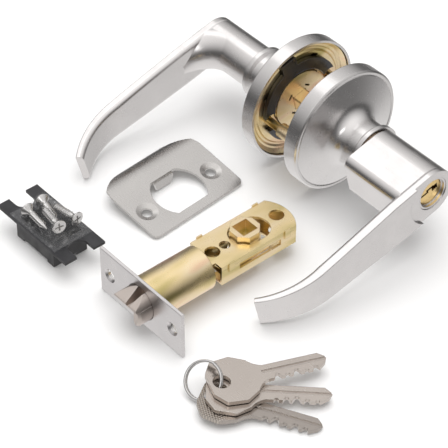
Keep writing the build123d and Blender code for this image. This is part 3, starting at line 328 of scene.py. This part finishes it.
FILM_COLUMNS, FILM_ROWS = 64, 44
SEAL_WIDTH, SEAL_LIFT = 1.6 * MM, 0.35 * MM
FOLD_HEIGHT, RIPPLE_HEIGHT = 0.7 * MM, 0.25 * MM


def film_fold(x, y):
    """Broad folds in the film, with sharper creases between them."""
    broad = noise.noise(Vector((x, y, 0)) * 260)
    sharp = abs(noise.noise(Vector((x * 0.5, y, 0.01)) * 700))
    return broad + 0.5 * sharp


def film_bag(name, node):
    """Two layers of film, sealed round the edge and lifted by the screws between them."""
    low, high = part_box(node)
    screws = np.array([v.co for v in nodes["wood_screws"].data.vertices])
    peaks = screws[screws[:, 2] > high.z + 2 * MM][::3]
    columns, rows = FILM_COLUMNS, FILM_ROWS
    top = np.zeros((columns, rows))
    xs = np.linspace(low.x, high.x, columns)
    ys = np.linspace(low.y, high.y, rows)
    for i, x in enumerate(xs):
        for j, y in enumerate(ys):
            top[i, j] = draped_height(x, y, peaks, high.z)
    for _ in range(2):
        middle = top[1:-1, 1:-1]
        around = (top[:-2, 1:-1] + top[2:, 1:-1] + top[1:-1, :-2] + top[1:-1, 2:]) / 4
        top[1:-1, 1:-1] = np.maximum(middle, (middle + around) / 2)
    mesh = bmesh.new()
    layers = []
    for is_top in (True, False):
        grid = []
        for i, x in enumerate(xs):
            line = []
            for j, y in enumerate(ys):
                inside = min(x - low.x, high.x - x, y - low.y, high.y - y)
                ease = min(1.0, max(0.0, (inside - SEAL_WIDTH) / (4 * MM)))
                z = low.z + 0.1 * MM
                if is_top:
                    raised = top[i, j] + 0.5 * MM + FOLD_HEIGHT * film_fold(x, y) - low.z
                    z = max(low.z + SEAL_LIFT + ease * raised, low.z + SEAL_LIFT)
                ripple = RIPPLE_HEIGHT * noise.noise(Vector((x, y, 0.3)) * 500)
                line.append(mesh.verts.new((x + ripple, y + ripple, z)))
            grid.append(line)
        layers.append(grid)
        for i in range(columns - 1):
            for j in range(rows - 1):
                corners = [grid[i][j], grid[i + 1][j], grid[i + 1][j + 1], grid[i][j + 1]]
                mesh.faces.new(corners if is_top else corners[::-1])
    rim = [(i, 0) for i in range(columns)] + [(columns - 1, j) for j in range(1, rows)]
    rim += [(i, rows - 1) for i in range(columns - 2, -1, -1)] + [(0, j) for j in range(rows - 2, 0, -1)]
    for (a, b), (c, d) in zip(rim, rim[1:] + rim[:1]):
        mesh.faces.new([layers[0][a][b], layers[1][a][b], layers[1][c][d], layers[0][c][d]])
    data = bpy.data.meshes.new(name)
    mesh.to_mesh(data)
    mesh.free()
    for face in data.polygons:
        face.use_smooth = True
    data.materials.append(film)
    bag = bpy.data.objects.new(name, data)
    bpy.context.scene.collection.objects.link(bag)
    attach(bag, "kit")
    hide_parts(node)
    return bag


# ---------------------------------------------------------------------------------------------
# Floor, light and camera
# ---------------------------------------------------------------------------------------------


FLOOR_HALF, FLOOR_DROP = 3.0, 0.3 * MM


def make_floor():
    half = FLOOR_HALF
    data = bpy.data.meshes.new("floor")
    corners = [(-half, -half), (half, -half), (half, half), (-half, half)]
    data.from_pydata([(x, y, -FLOOR_DROP) for x, y in corners], [], [(0, 1, 2, 3)])
    data.materials.append(pale_floor())
    floor = bpy.data.objects.new("floor", data)
    bpy.context.scene.collection.objects.link(floor)
    floor.visible_glossy = False


def aim(item, place, target):
    """Puts an object at a place, with its -Z pointing at the target."""
    way = Vector(target) - Vector(place)
    item.matrix_world = Matrix.Translation(place) @ way.to_track_quat("-Z", "Y").to_matrix().to_4x4()


def make_light(name, place, size, power, in_reflections=True):
    data = bpy.data.lights.new(name, "AREA")
    data.shape = "RECTANGLE"
    data.size, data.size_y = size
    data.energy = power
    light = bpy.data.objects.new(name, data)
    bpy.context.scene.collection.objects.link(light)
    aim(light, place, (0, 0, 0))
    light.visible_glossy = in_reflections


# How bright the room is at each height, from straight below (0) to straight above (1)
WORLD_SHADES = (
    (0.0, 0.95), (0.16, 0.86), (0.30, 0.40), (0.44, 0.10),
    (0.54, 0.12), (0.66, 0.42), (0.80, 0.74), (1.0, 1.2),
)


def make_world():
    """Soft room light: bright overhead, dark round the horizon, and grey below for what reflects it."""
    world = bpy.data.worlds.new("studio")
    world.use_nodes = True
    tree = world.node_tree
    place = tree.nodes.new("ShaderNodeTexCoord")
    split = tree.nodes.new("ShaderNodeSeparateXYZ")
    height = tree.nodes.new("ShaderNodeMapRange")
    height.inputs["From Min"].default_value = -1
    ramp = tree.nodes.new("ShaderNodeValToRGB")
    tree.links.new(place.outputs["Generated"], split.inputs["Vector"])
    tree.links.new(split.outputs["Z"], height.inputs["Value"])
    tree.links.new(height.outputs["Result"], ramp.inputs["Fac"])
    tree.links.new(ramp.outputs["Color"], tree.nodes["Background"].inputs["Color"])
    elements = ramp.color_ramp.elements
    while len(elements) < len(WORLD_SHADES):
        elements.new(0.5)
    for element, (position, shade) in zip(elements, WORLD_SHADES):
        element.position = position
        element.color = (shade, shade * 0.985, shade * 0.975, 1)
    tree.nodes["Background"].inputs["Strength"].default_value = 1.0
    bpy.context.scene.world = world


CAMERA_AZIMUTH, CAMERA_HEIGHT = math.radians(49.64), math.radians(42.28)
CAMERA_DISTANCE = 1.0
CAMERA_TARGET = Vector((-21.3, -2.8, 0)) * MM
CAMERA_LENS = 172.8


def make_camera():
    """The photograph's viewing angle, from a metre away."""
    level = math.cos(CAMERA_HEIGHT)
    back = Vector((
        math.sin(CAMERA_AZIMUTH) * level,
        -math.cos(CAMERA_AZIMUTH) * level,
        math.sin(CAMERA_HEIGHT),
    ))
    data = bpy.data.cameras.new("camera")
    data.sensor_width = 36
    data.lens = CAMERA_LENS
    camera = bpy.data.objects.new("camera", data)
    bpy.context.scene.collection.objects.link(camera)
    aim(camera, CAMERA_TARGET + back * CAMERA_DISTANCE, CAMERA_TARGET)
    bpy.context.scene.camera = camera


dress_nodes()
film_bag("film_bag", "screw_bag")
make_floor()
make_world()
make_light("floor fill", (-0.2, 0.1, 1.3), (1.4, 1.4), 11, in_reflections=False)
make_light("blade card", (-0.62, 0.12, 0.9), (0.5, 0.5), 0.45)
make_light("front card", (0.55, -0.75, 0.75), (0.35, 0.6), 0.8)
make_camera()
bpy.context.scene.view_settings.view_transform = "Standard"
